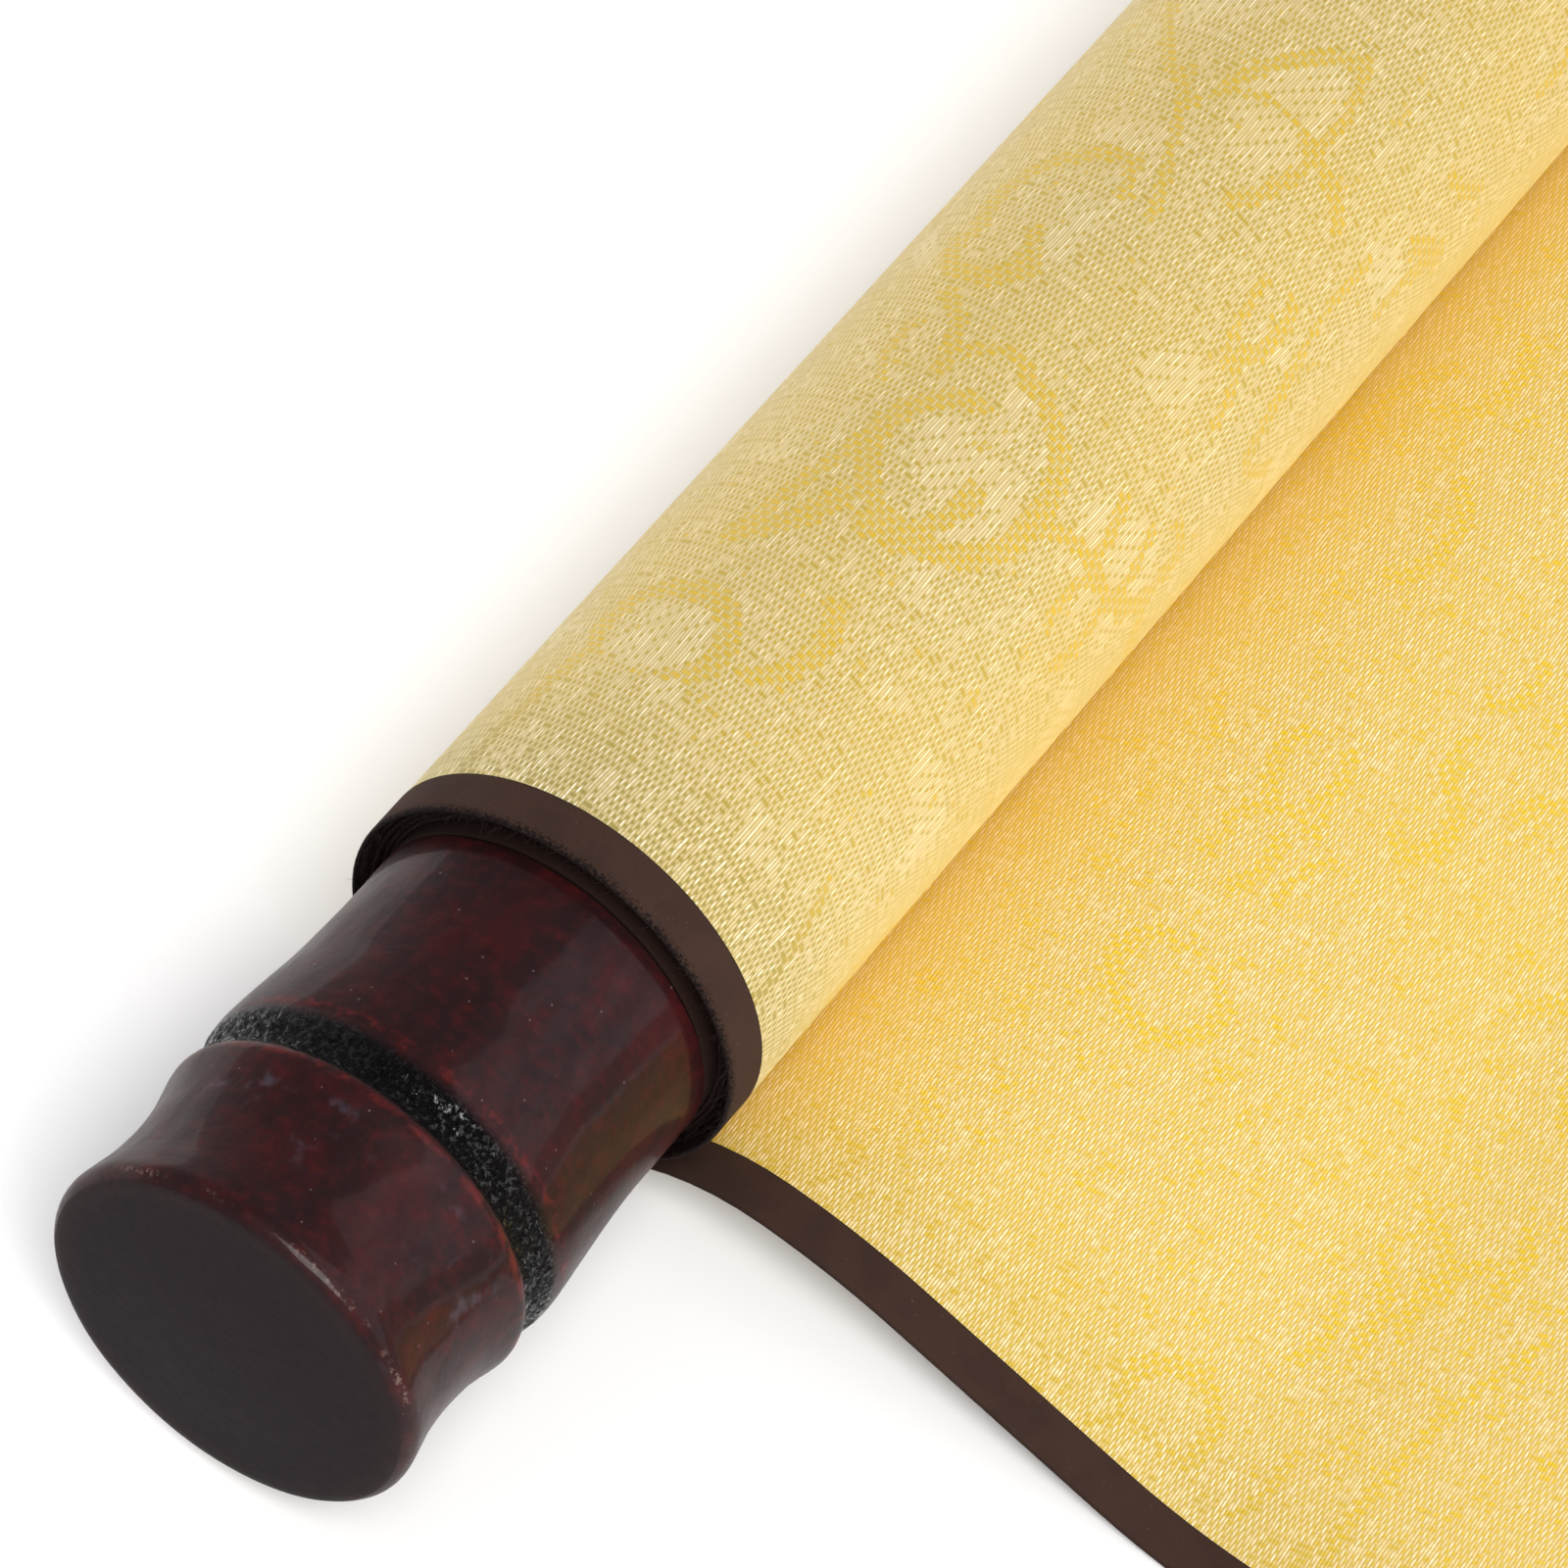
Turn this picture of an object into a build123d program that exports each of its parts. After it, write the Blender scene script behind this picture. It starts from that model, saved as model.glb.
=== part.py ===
from build123d import *
import os
from math import acos, asin, cos, degrees, radians, sin, sqrt

os.makedirs("parts", exist_ok=True)

# A small hanging scroll lying face up and almost wholly rolled up on its roller. Sizes are in millimetres.
# X runs along the roller, the free end of the sheet lies towards -Y, and the scroll rests on Z = 0.
# The origin is the middle of the footprint, on the surface that the scroll lies on.

# Mounted sheet: silk pasted on backing paper, wound on the roller with its face inside.
sheet_width = 280.0
sheet_thickness = 0.35
roll_diameter = 26.0
flat_spot_depth = 0.15      # how far the roll settles under its own weight
free_reach = 176.0          # from the roller's axis to the outside of the sheet's top end

# Course of the free sheet: it lifts off the roll, arches over and comes down on the surface.
lift_angle = 38.0           # degrees round the roll, from its lowest point to where the sheet leaves it
crest_radius = 14.4         # the arch, on the side towards the roll
crest_far_radius = 41.6     # the arch, on the side away from the roll
descent_angle = 13.5        # degrees
landing_radius = 32.5
rise_angle = 18.0           # degrees, where the sheet climbs onto the stave
rise_lead = 1.0             # level run between that climb and the stave
crevice_radius = 0.25       # how sharp the inside corner between roll and free sheet is

# Edge tape: a strip folded over each side edge of the sheet, pasted down flush with both faces.
tape_width = 3.2
tape_thickness = 0.12

# Roller: a wooden rod with a turned tenon at each end.
rod_diameter = 18.0
rod_overhang = 0.3          # the rod's shoulder stands this far out of the roll's end
tenon_diameter = 10.0
tenon_length = 14.0
glue_clearance = 0.05       # round the tenon and beyond its end

# Knobs: turned wood with a bamboo joint, measured from the seat on the rod's shoulder outwards.
knob_length = 31.0
knob_neck_diameter = 22.9
knob_hollow_diameter = 22.95
knob_collar_diameter = 24.4
knob_groove_diameter = 23.3
knob_ridge_diameter = 24.55
knob_waist_diameter = 23.05
knob_rim_diameter = 24.45
knob_face_diameter = 22.6
knob_hollow_place = 6.0
knob_collar_place = 15.2
knob_groove_place = 17.8
knob_ridge_place = 19.1
knob_waist_place = 24.4
knob_rim_place = 29.2
knob_face_place = 30.3
collar_round = 1.0          # how far the collar's rounded edge runs down into the groove
ridge_round = 0.5

# Top stave: a wooden strip in the sheet's top end, flat towards the face, rounded towards the back.
stave_width = 12.0
stave_height = 6.5
stave_back_radius = 3.5
stave_edge_radius = 0.8

# Hanging eyelets: brass screw eyes driven through the wrapped sheet into the stave's outer edge.
eyelet_spacing = 150.0
eyelet_wire = 1.2
eyelet_inner_diameter = 4.0
eyelet_shank_depth = 7.0
eyelet_stand = 0.6          # bare shank between the sheet and the ring
eyelet_height = 3.9         # above the surface, inside the stave's upright edge

# ---- Places that follow from the sizes above, in the section plane: u runs from the roller's axis
# ---- towards the sheet's free end, and z runs up.
lift = radians(lift_angle)
roll_radius = roll_diameter / 2
outer_centre_shift = sheet_thickness / 2
axis_z = roll_radius + outer_centre_shift * (1 + cos(lift)) - flat_spot_depth
lift_direction = (sin(lift), -cos(lift))
outer_centre = (outer_centre_shift * lift_direction[0], axis_z + outer_centre_shift * lift_direction[1])
outer_radius = roll_radius + outer_centre_shift
lift_point = (
    (roll_radius + sheet_thickness) * lift_direction[0],
    axis_z + (roll_radius + sheet_thickness) * lift_direction[1],
)
crest_centre = (
    (roll_radius + sheet_thickness + crest_radius) * lift_direction[0],
    axis_z + (roll_radius + sheet_thickness + crest_radius) * lift_direction[1],
)

stave_bottom = sheet_thickness
stave_top = stave_bottom + stave_height
stave_start = free_reach - sheet_thickness - stave_width
stave_end = stave_start + stave_width
rise_end = stave_start - sheet_thickness - rise_lead

descent = radians(descent_angle)
arc_drop = (crest_far_radius + landing_radius) * (1 - cos(descent))
crest_top = lift_point[1] + crest_radius * (1 - cos(lift))
slope_length = (crest_top - arc_drop) / sin(descent)
landing_place = (
    lift_point[0]
    + crest_radius * sin(lift)
    + (crest_far_radius + landing_radius) * sin(descent)
    + slope_length * cos(descent)
)
rise = radians(rise_angle)
rise_radius = stave_top / (2 * (1 - cos(rise)))
rise_start = rise_end - 2 * rise_radius * sin(rise)
level_run = rise_start - landing_place

# The sheet's underside from where it leaves the roll to the stave: (arc radius, turn) or (length, none).
underside = [
    (crest_radius, -lift_angle),
    (crest_far_radius, -descent_angle),
    (slope_length, None),
    (landing_radius, descent_angle),
    (level_run, None),
    (rise_radius, rise_angle),
    (rise_radius, -rise_angle),
]

eyelet_wire_radius = eyelet_wire / 2
eyelet_ring_radius = (eyelet_inner_diameter + eyelet_wire) / 2
eyelet_centre = free_reach + eyelet_stand + eyelet_wire_radius + eyelet_ring_radius
overall_reach = eyelet_centre + eyelet_ring_radius + eyelet_wire_radius
roll_back = outer_radius - outer_centre[0]
axis_y = (overall_reach - roll_back) / 2
half_width = sheet_width / 2
seat_x = half_width + rod_overhang


def at(point, x=0.0):
    """A point of the section plane, placed in the scroll's own frame."""
    return Vector(x, axis_y - point[0], point[1])


def polar(centre, radius, angle):
    """A point of the section plane at an angle, in radians, from the +u direction."""
    return (centre[0] + radius * cos(angle), centre[1] + radius * sin(angle))


def course(offset, first_skip=0.0):
    """The underside's course moved up by offset, as edges; first_skip radians of the first arc are left out."""
    u, z = lift_point
    heading = lift
    edges = []
    for size, turn in underside:
        start = (u - offset * sin(heading), z + offset * cos(heading))
        if turn is None:
            u, z = u + size * cos(heading), z + size * sin(heading)
            end = (u - offset * sin(heading), z + offset * cos(heading))
            edges.append(Line(at(start), at(end)))
            continue
        side = 1 if turn > 0 else -1
        centre = (u - side * size * sin(heading), z + side * size * cos(heading))
        radius = size - side * offset
        begin = heading - side * radians(90) - (first_skip if not edges else 0.0)
        heading += radians(turn)
        finish = heading - side * radians(90)
        edges.append(
            ThreePointArc(
                at(polar(centre, radius, begin)),
                at(polar(centre, radius, (begin + finish) / 2)),
                at(polar(centre, radius, finish)),
            )
        )
        u, z = polar(centre, size, finish)
    return edges


def arc_between(centre, radius, begin, finish):
    """An arc of the section plane between two angles in degrees from the +u direction."""
    a, b = radians(begin), radians(finish)
    return ThreePointArc(*(at(polar(centre, radius, angle)) for angle in (a, (a + b) / 2, b)))


def sheet_section(inset=0.0):
    """The wound sheet's section, with its outer surfaces set in by inset; roller and stave aren't cut out."""
    # Corner between roll and free sheet: a small arc that touches both.
    from_roll = roll_radius + crevice_radius
    from_crest = crest_radius + sheet_thickness + crevice_radius
    apart = roll_radius + sheet_thickness + crest_radius
    at_roll = acos((from_roll**2 + apart**2 - from_crest**2) / (2 * from_roll * apart))
    at_crest = acos((from_crest**2 + apart**2 - from_roll**2) / (2 * from_crest * apart))
    crevice_angle = lift - radians(90) + at_roll
    crevice_centre = polar((0, axis_z), from_roll, crevice_angle)
    corner_radius = crevice_radius + inset
    toward_roll = crevice_angle + radians(180)
    toward_crest = lift - radians(90) - at_crest
    crevice = ThreePointArc(
        at(polar(crevice_centre, corner_radius, toward_crest)),
        at(polar(crevice_centre, corner_radius, (toward_roll - radians(360) + toward_crest) / 2)),
        at(polar(crevice_centre, corner_radius, toward_roll)),
    )
    # Outer turn: two half circles whose centres are half a thickness apart, and the flat spot.
    split = lift_angle + 90
    inner_half = arc_between((0, axis_z), roll_radius - inset, degrees(crevice_angle), split)
    wound = outer_radius - inset
    flat_half = sqrt(wound**2 - (outer_centre[1] - inset) ** 2)
    flat_angle = 90 - degrees(asin(flat_half / wound))
    back_half = arc_between(outer_centre, wound, split, 180 + flat_angle)
    flat = Line(at((outer_centre[0] - flat_half, inset)), at((outer_centre[0] + flat_half, inset)))
    under_half = arc_between(outer_centre, wound, -flat_angle, lift_angle - 90)
    # Wrap round the stave.
    grip = sheet_thickness - inset
    inner_side, outer_side = stave_start - grip, stave_end + grip
    back_z = stave_bottom + stave_back_radius
    low_left = (stave_start + stave_back_radius, back_z)
    low_right = (stave_end - stave_back_radius, back_z)
    high_right = (stave_end - stave_edge_radius, stave_top - stave_edge_radius)
    back_corner = stave_back_radius + grip
    edge_corner = stave_edge_radius + grip
    band_low, band_high = stave_top + inset, stave_top + grip
    wrap = [
        Line(at((rise_end, band_low)), at((inner_side, band_low))),
        Line(at((inner_side, band_low)), at((inner_side, back_z))),
        arc_between(low_left, back_corner, 180, 270),
        Line(at((low_left[0], inset)), at((low_right[0], inset))),
        arc_between(low_right, back_corner, -90, 0),
        Line(at((outer_side, back_z)), at((outer_side, high_right[1]))),
        arc_between(high_right, edge_corner, 0, 90),
        Line(at((high_right[0], band_high)), at((rise_end, band_high))),
    ]
    topside = course(sheet_thickness - inset, first_skip=at_crest)
    outline = [inner_half, back_half, flat, under_half, *course(inset), *wrap, *topside, crevice]
    return Face(Wire(outline))


def stave_section():
    """The stave's section: upright edges, a rounded back and softened upper edges."""
    back_z = stave_bottom + stave_back_radius
    edge_z = stave_top - stave_edge_radius
    low = [stave_start + stave_back_radius, stave_end - stave_back_radius]
    high = [stave_start + stave_edge_radius, stave_end - stave_edge_radius]
    outline = [
        arc_between((low[0], back_z), stave_back_radius, 180, 270),
        Line(at((low[0], stave_bottom)), at((low[1], stave_bottom))),
        arc_between((low[1], back_z), stave_back_radius, -90, 0),
        Line(at((stave_end, back_z)), at((stave_end, edge_z))),
        arc_between((high[1], edge_z), stave_edge_radius, 0, 90),
        Line(at((high[1], stave_top)), at((high[0], stave_top))),
        arc_between((high[0], edge_z), stave_edge_radius, 90, 180),
        Line(at((stave_start, edge_z)), at((stave_start, back_z))),
    ]
    return Face(Wire(outline))


def prism(face, x_from, x_to):
    """A section extruded along the roller between two places."""
    return extrude(Pos(x_from, 0, 0) * face, amount=x_to - x_from, dir=(1, 0, 0))


def along_roller(radius, x_from, x_to):
    """A round bar on the roller's axis."""
    bar = Cylinder(radius, x_to - x_from, align=(Align.CENTER, Align.CENTER, Align.MIN))
    return Pos(x_from, axis_y, axis_z) * Rot(0, 90, 0) * bar


def make_rod():
    rod = along_roller(rod_diameter / 2, -seat_x, seat_x)
    return rod + along_roller(tenon_diameter / 2, -seat_x - tenon_length, seat_x + tenon_length)


def make_knob(side):
    """side is +1 for the far knob and -1 for the near one."""
    socket_radius = tenon_diameter / 2 + glue_clearance
    socket_depth = tenon_length + glue_clearance
    neck = (0, knob_neck_diameter / 2)
    hollow = (knob_hollow_place, knob_hollow_diameter / 2)
    collar = (knob_collar_place, knob_collar_diameter / 2)
    collar_edge = (knob_collar_place + collar_round, knob_collar_diameter / 2 - 0.25 * collar_round)
    groove = (knob_groove_place, knob_groove_diameter / 2)
    ridge_edge = (knob_ridge_place - ridge_round, knob_ridge_diameter / 2 - 0.3 * ridge_round)
    ridge = (knob_ridge_place, knob_ridge_diameter / 2)
    waist = (knob_waist_place, knob_waist_diameter / 2)
    rim = (knob_rim_place, knob_rim_diameter / 2)
    face_edge = (knob_face_place, knob_face_diameter / 2)
    dome_height = knob_length - knob_face_place
    dome_radius = (face_edge[1] ** 2 + dome_height**2) / (2 * dome_height)
    level, face_slope = (1, 0), (face_edge[1] / dome_radius, dome_height / dome_radius - 1)
    profile = [
        Line((0, socket_radius), neck),
        Spline(neck, hollow, collar, tangents=[level, level]),
        Spline(collar, collar_edge, groove, tangents=[level, level]),
        Spline(groove, ridge_edge, ridge, tangents=[level, level]),
        Spline(ridge, waist, rim, tangents=[level, level]),
        Spline(rim, face_edge, tangents=[level, face_slope]),
        RadiusArc(face_edge, (knob_length, 0), dome_radius),
        Line((knob_length, 0), (socket_depth, 0)),
        Line((socket_depth, 0), (socket_depth, socket_radius)),
        Line((socket_depth, socket_radius), (0, socket_radius)),
    ]
    knob = revolve(Face(Wire(profile)), axis=Axis.X, revolution_arc=360)
    knob = Pos(seat_x, axis_y, axis_z) * knob
    return knob if side > 0 else mirror(knob, about=Plane.YZ)


def eyelet_shank(x, radius):
    """The straight part of a screw eye, from its point inside the stave to the ring."""
    start = stave_end - eyelet_shank_depth
    bar = Cylinder(radius, eyelet_centre - eyelet_ring_radius - start, align=(Align.CENTER, Align.CENTER, Align.MIN))
    return Pos(x, axis_y - start, eyelet_height) * Rot(90, 0, 0) * bar


def make_eyelet(x):
    ring = Pos(x, axis_y - eyelet_centre, eyelet_height) * Torus(eyelet_ring_radius, eyelet_wire_radius)
    return ring + eyelet_shank(x, eyelet_wire_radius)


eyelet_places = {"eyelet_left": -eyelet_spacing / 2, "eyelet_right": eyelet_spacing / 2}
stave = prism(stave_section(), -half_width, half_width)
rod = make_rod()
full, thinned = sheet_section(), sheet_section(tape_thickness)

sheet = prism(full, -half_width + tape_width, half_width - tape_width)
sheet += prism(thinned, -half_width + tape_thickness, half_width - tape_thickness)
tapes = {}
for name, outer, inner in (
    ("edge_tape_near", -half_width, -half_width + tape_width),
    ("edge_tape_far", half_width, half_width - tape_width),
):
    cap_end = outer + tape_thickness if outer < 0 else outer - tape_thickness
    strip = prism(full, min(outer, inner), max(outer, inner))
    tapes[name] = strip - prism(thinned, min(cap_end, inner), max(cap_end, inner)) - rod - stave
sheet = sheet - rod - stave
for x in eyelet_places.values():
    shank = eyelet_shank(x, eyelet_wire_radius)
    sheet -= shank
    stave -= shank

parts = {
    "roller_rod": rod,
    "knob_near": make_knob(-1),
    "knob_far": make_knob(1),
    "mounted_sheet": sheet,
    "top_stave": stave,
    **tapes,
    **{name: make_eyelet(x) for name, x in eyelet_places.items()},
}
for name, solid in parts.items():
    export_step(solid, f"parts/{name}.step")
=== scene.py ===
import math

import bpy
import numpy as np
from mathutils import Matrix, Vector, noise


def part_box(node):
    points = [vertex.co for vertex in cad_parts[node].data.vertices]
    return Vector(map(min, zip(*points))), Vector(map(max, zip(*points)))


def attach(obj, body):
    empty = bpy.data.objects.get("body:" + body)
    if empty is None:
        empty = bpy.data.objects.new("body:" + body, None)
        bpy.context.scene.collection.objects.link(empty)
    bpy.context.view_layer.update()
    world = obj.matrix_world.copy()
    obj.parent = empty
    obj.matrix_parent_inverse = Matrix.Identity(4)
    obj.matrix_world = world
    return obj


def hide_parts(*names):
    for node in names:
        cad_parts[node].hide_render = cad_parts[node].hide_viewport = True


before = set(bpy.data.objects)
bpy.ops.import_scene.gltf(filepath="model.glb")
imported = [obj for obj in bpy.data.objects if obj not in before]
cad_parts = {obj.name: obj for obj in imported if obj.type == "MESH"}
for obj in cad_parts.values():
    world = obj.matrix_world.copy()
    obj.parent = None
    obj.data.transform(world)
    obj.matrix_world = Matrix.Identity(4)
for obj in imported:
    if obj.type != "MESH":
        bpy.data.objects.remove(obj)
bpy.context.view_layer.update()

# ---- Stage
# A pale table top in a softly lit room: a large light overhead, low ones in front of and behind the scroll,
# and a dim panel that only shows in the lacquer. The camera looks down over the near knob.
scene = bpy.context.scene
scene.view_settings.view_transform = "Standard"
scene.view_settings.look = "None"

camera = bpy.data.objects.new("camera", bpy.data.cameras.new("camera"))
camera.data.lens = 215.79
camera.data.sensor_width = 36
camera.data.clip_start = 0.01
camera_place = (-0.41821, -0.01806, 0.45941)
camera_right = Vector((0.5536, -0.8110, 0.1890))
camera_up = Vector((0.6275, 0.5555, 0.5456))
camera_turn = Matrix((camera_right, camera_up, camera_right.cross(camera_up))).transposed()
camera.matrix_world = Matrix.Translation(camera_place) @ camera_turn.to_4x4()
scene.collection.objects.link(camera)
scene.camera = camera


def soft_light(name, place, aim, size, watts, tint, mirrored=True):
    """A rectangular soft light at place, turned to aim; one that isn't mirrored shows in no shine."""
    lamp = bpy.data.objects.new(name, bpy.data.lights.new(name, "AREA"))
    lamp.data.shape = "RECTANGLE"
    lamp.data.size, lamp.data.size_y = size
    lamp.data.energy = watts
    lamp.data.color = tint
    lamp.visible_glossy = mirrored
    lamp.location = place
    lamp.rotation_euler = (Vector(aim) - Vector(place)).to_track_quat("-Z", "Y").to_euler()
    scene.collection.objects.link(lamp)
    return lamp


soft_light("overhead_light", (-0.75, -0.35, 1.15), (-0.05, 0.0, 0.0), (0.8, 0.8), 16.6, (1.0, 0.99, 0.97))
soft_light("back_light", (0.35, 1.1, 0.45), (-0.1, 0.08, 0.0), (1.4, 0.7), 12.0, (0.98, 0.97, 1.0), False)
soft_light("low_light", (-0.45, -1.1, 0.3), (-0.1, 0.05, 0.0), (1.4, 0.5), 13.5, (1.0, 0.98, 0.95), False)
panel = soft_light("side_panel", (0.2, -0.57, 0.62), (-0.15, 0.08, 0.02), (1.2, 1.0), 4.0, (0.96, 0.92, 1.0))
panel.visible_diffuse = False

world = bpy.data.worlds.new("studio")
world.use_nodes = True
scene.world = world
sky = world.node_tree
direction = sky.nodes.new("ShaderNodeTexCoord")
height = sky.nodes.new("ShaderNodeSeparateXYZ")
walls = sky.nodes.new("ShaderNodeValToRGB")
low_wall, high_wall = walls.color_ramp.elements
low_wall.position, low_wall.color = 0.1, (0.42, 0.42, 0.43, 1)
high_wall.position, high_wall.color = 0.75, (0.33, 0.33, 0.34, 1)
sky.links.new(direction.outputs["Generated"], height.inputs[0])
sky.links.new(height.outputs["Z"], walls.inputs[0])
sky.links.new(walls.outputs[0], sky.nodes["Background"].inputs["Color"])

floor_mesh = bpy.data.meshes.new("floor")
floor_reach, floor_level = 4, -1e-4
square = ((-1, -1), (1, -1), (1, 1), (-1, 1))
floor_corners = [(x * floor_reach, y * floor_reach, floor_level) for x, y in square]
floor_mesh.from_pydata(floor_corners, [], [(0, 1, 2, 3)])
floor = bpy.data.objects.new("floor", floor_mesh)
scene.collection.objects.link(floor)
floor_paint = bpy.data.materials.new("pale_table")
floor_paint.use_nodes = True
floor_shader = floor_paint.node_tree.nodes["Principled BSDF"]
floor_shader.inputs["Base Color"].default_value = (0.93, 0.93, 0.93, 1)
floor_shader.inputs["Roughness"].default_value = 0.9
floor_shader.inputs["Specular IOR Level"].default_value = 0.0
floor_mesh.materials.append(floor_paint)

# ---- Roller
# A straight-grained softwood rod, planed round and left bare. The sheet's lower end is pasted to it and
# the knobs are glued on its tenons, so only a sliver of each shoulder shows.
rod_low, rod_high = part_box("roller_rod")
axis_y = 1000 * (rod_low.y + rod_high.y) / 2
axis_z = 1000 * (rod_low.z + rod_high.z) / 2
rod_radius = 1000 * (rod_high.z - rod_low.z) / 2


class Wire:
    """One output of a shader node. Arithmetic on it adds Math nodes; node() adds any other node."""

    def __init__(self, tree, socket=None):
        self.tree, self.socket = tree, socket

    def node(self, kind, settings={}, inputs={}, output=0):
        made = self.tree.nodes.new("ShaderNode" + kind)
        for name, value in settings.items():
            setattr(made, name, value)
        for key, value in inputs.items():
            if isinstance(value, Wire):
                self.tree.links.new(value.socket, made.inputs[key])
            else:
                made.inputs[key].default_value = value
        return Wire(self.tree, made.outputs[output])

    def maths(self, operation, *values):
        return self.node("Math", {"operation": operation}, dict(enumerate(values)))

    def vectors(self, operation, *values, output=0):
        return self.node("VectorMath", {"operation": operation}, dict(enumerate((self, *values))), output)

    def axis(self, name):
        return self.node("SeparateXYZ", {}, {0: self}, name)

    def smooth(self, low, high):
        """0 below low, 1 above high and a soft step between."""
        return self.node("MapRange", {"interpolation_type": "SMOOTHSTEP"}, {0: self, 1: low, 2: high})

    def mix(self, below, above):
        """The colour below where this mask is 0, and above where it is 1."""
        return self.node("Mix", {"data_type": "RGBA"}, {0: self, 6: below, 7: above}, 2)

    def __add__(self, other):
        return self.maths("ADD", self, other)

    def __sub__(self, other):
        return self.maths("SUBTRACT", self, other)

    def __rsub__(self, other):
        return self.maths("SUBTRACT", other, self)

    def __mul__(self, other):
        return self.maths("MULTIPLY", self, other)

    def __truediv__(self, other):
        return self.maths("DIVIDE", self, other)

    def __mod__(self, other):
        return self.maths("FLOORED_MODULO", self, other)

    def __gt__(self, other):
        return self.maths("GREATER_THAN", self, other)

    def __lt__(self, other):
        return self.maths("LESS_THAN", self, other)

    def __abs__(self):
        return self.maths("ABSOLUTE", self)

    __radd__, __rmul__ = __add__, __mul__


def colour(red, green, blue):
    """A colour given as 0 to 255 on a screen, as the shader wants it."""
    linear = [v / 255 / 12.92 if v <= 10 else ((v / 255 + 0.055) / 1.055) ** 2.4 for v in (red, green, blue)]
    return (*linear, 1.0)


def new_finish(name, **fixed):
    """A material, its shader node with the values that don't vary set, and a place to start wires from."""
    material = bpy.data.materials.new(name)
    material.use_nodes = True
    shader = material.node_tree.nodes["Principled BSDF"]
    for key, value in fixed.items():
        shader.inputs[key.replace("_", " ")].default_value = value
    return material, shader, Wire(material.node_tree)


def feed(shader, **wires):
    """Links wires to the shader's inputs of those names."""
    for key, wire in wires.items():
        wire.tree.links.new(wire.socket, shader.inputs[key.replace("_", " ")])


def object_place(start, scale):
    """The point's place in millimetres, stretched by scale."""
    place = start.node("TexCoord", {}, {}, "Object")
    return place.vectors("MULTIPLY", tuple(1000.0 * s for s in scale))


def clouds(place, scale, detail=2.0, roughness=0.5):
    """Soft noise from 0 to 1, with scale clouds to a millimetre."""
    how = {"Vector": place, "Scale": scale, "Detail": detail, "Roughness": roughness}
    return place.node("TexNoise", {}, how)


def bumped(height, metres):
    """A normal that follows height, which is metres tall from 0 to 1."""
    return height.node("Bump", {}, {"Strength": 1.0, "Distance": metres, "Height": height})


bare_wood, wood_shader, start = new_finish("bare_wood", IOR=1.45)
grain = clouds(object_place(start, (0.03, 1.0, 1.0)), 1.1, 4.0, 0.6)
pores = clouds(object_place(start, (0.25, 6.0, 6.0)), 1.0, 2.0)
wood_tone = grain.smooth(0.35, 0.7).mix(colour(222, 190, 142), colour(186, 146, 98))
wood_tone = (pores.smooth(0.58, 0.72) * 0.5).mix(wood_tone, colour(128, 94, 60))
wood_relief = bumped(grain + 0.4 * pores, 6e-5)
feed(wood_shader, Base_Color=wood_tone, Roughness=0.55 + 0.2 * pores, Normal=wood_relief)
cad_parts["roller_rod"].data.materials.clear()
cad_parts["roller_rod"].data.materials.append(bare_wood)

# ---- Mounted sheet
# Damask silk pasted on both sides of backing paper: a cream and pale gold wrapper outside, a deeper
# golden one on the face. It is wound face in on the roller, runs out over the table and wraps the stave.
sheet_width = 280.0
sheet_thickness = 0.35
roll_radius = 13.0
flat_spot_depth = 0.15
lift_angle = 38.0
tape_skin = 0.05
silk_inset = 2.3
segments_in_a_turn = 96
longest_step = 1.6
widths_across = 20

turns = (roll_radius - rod_radius) / sheet_thickness
turn = np.linspace(turns, 0, int(turns * segments_in_a_turn))
round_axis = math.radians(lift_angle - 90) - 2 * math.pi * turn
wound_radius = roll_radius + sheet_thickness * (1 - turn)
settled = axis_z - wound_radius + flat_spot_depth * (1 - turn / turns)
wound_z = np.maximum(axis_z + wound_radius * np.sin(round_axis), np.maximum(settled, 0))
course = list(zip(wound_radius * np.cos(round_axis), wound_z))

# From the roll to the sheet's end, in millimetres and degrees: (arc radius, turn), or (length, 0).
free_course = [
    (14.4, -lift_angle),
    (41.6, -13.5),
    (15.63, 0),
    (32.5, 13.5),
    (69.47, 0),
    (69.98, 18),
    (69.98, -18),
    (12.55, 0),
    (0.8, -90),
    (2.2, 0),
    (3.5, -90),
    (5.0, 0),
    (3.5, -90),
    (2.85, 0),
]
point, heading = np.array(course[-1]), math.radians(lift_angle)
for size, bend in free_course:
    run = size * math.radians(abs(bend)) if bend else size
    steps = max(4 if bend else 1, math.ceil(run / longest_step))
    turned = math.radians(bend) / steps
    chord = 2 * size * math.sin(abs(turned) / 2) if bend else run / steps
    for _ in range(steps):
        heading += turned / 2
        point = point + chord * np.array((math.cos(heading), math.sin(heading)))
        heading += turned / 2
        course.append(point)
course = np.array(course)
ahead = np.gradient(course, axis=0)
ahead /= np.linalg.norm(ahead, axis=1)[:, None]
face_side = np.stack([-ahead[:, 1], ahead[:, 0]], axis=1)
middle = course + sheet_thickness / 2 * face_side
along = np.concatenate([[0], np.cumsum(np.linalg.norm(np.diff(middle, axis=0), axis=1))])
wound_length = along[len(turn) - 1]
sheet_length = along[-1]


def beside_course(across, depth):
    """Points at distances across the sheet, depth above its underside, for every point of the course."""
    spot = course + depth * face_side
    across = np.broadcast_to(across, (len(course),))
    return np.stack([across, axis_y - spot[:, 0], spot[:, 1]], axis=1)


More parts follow.
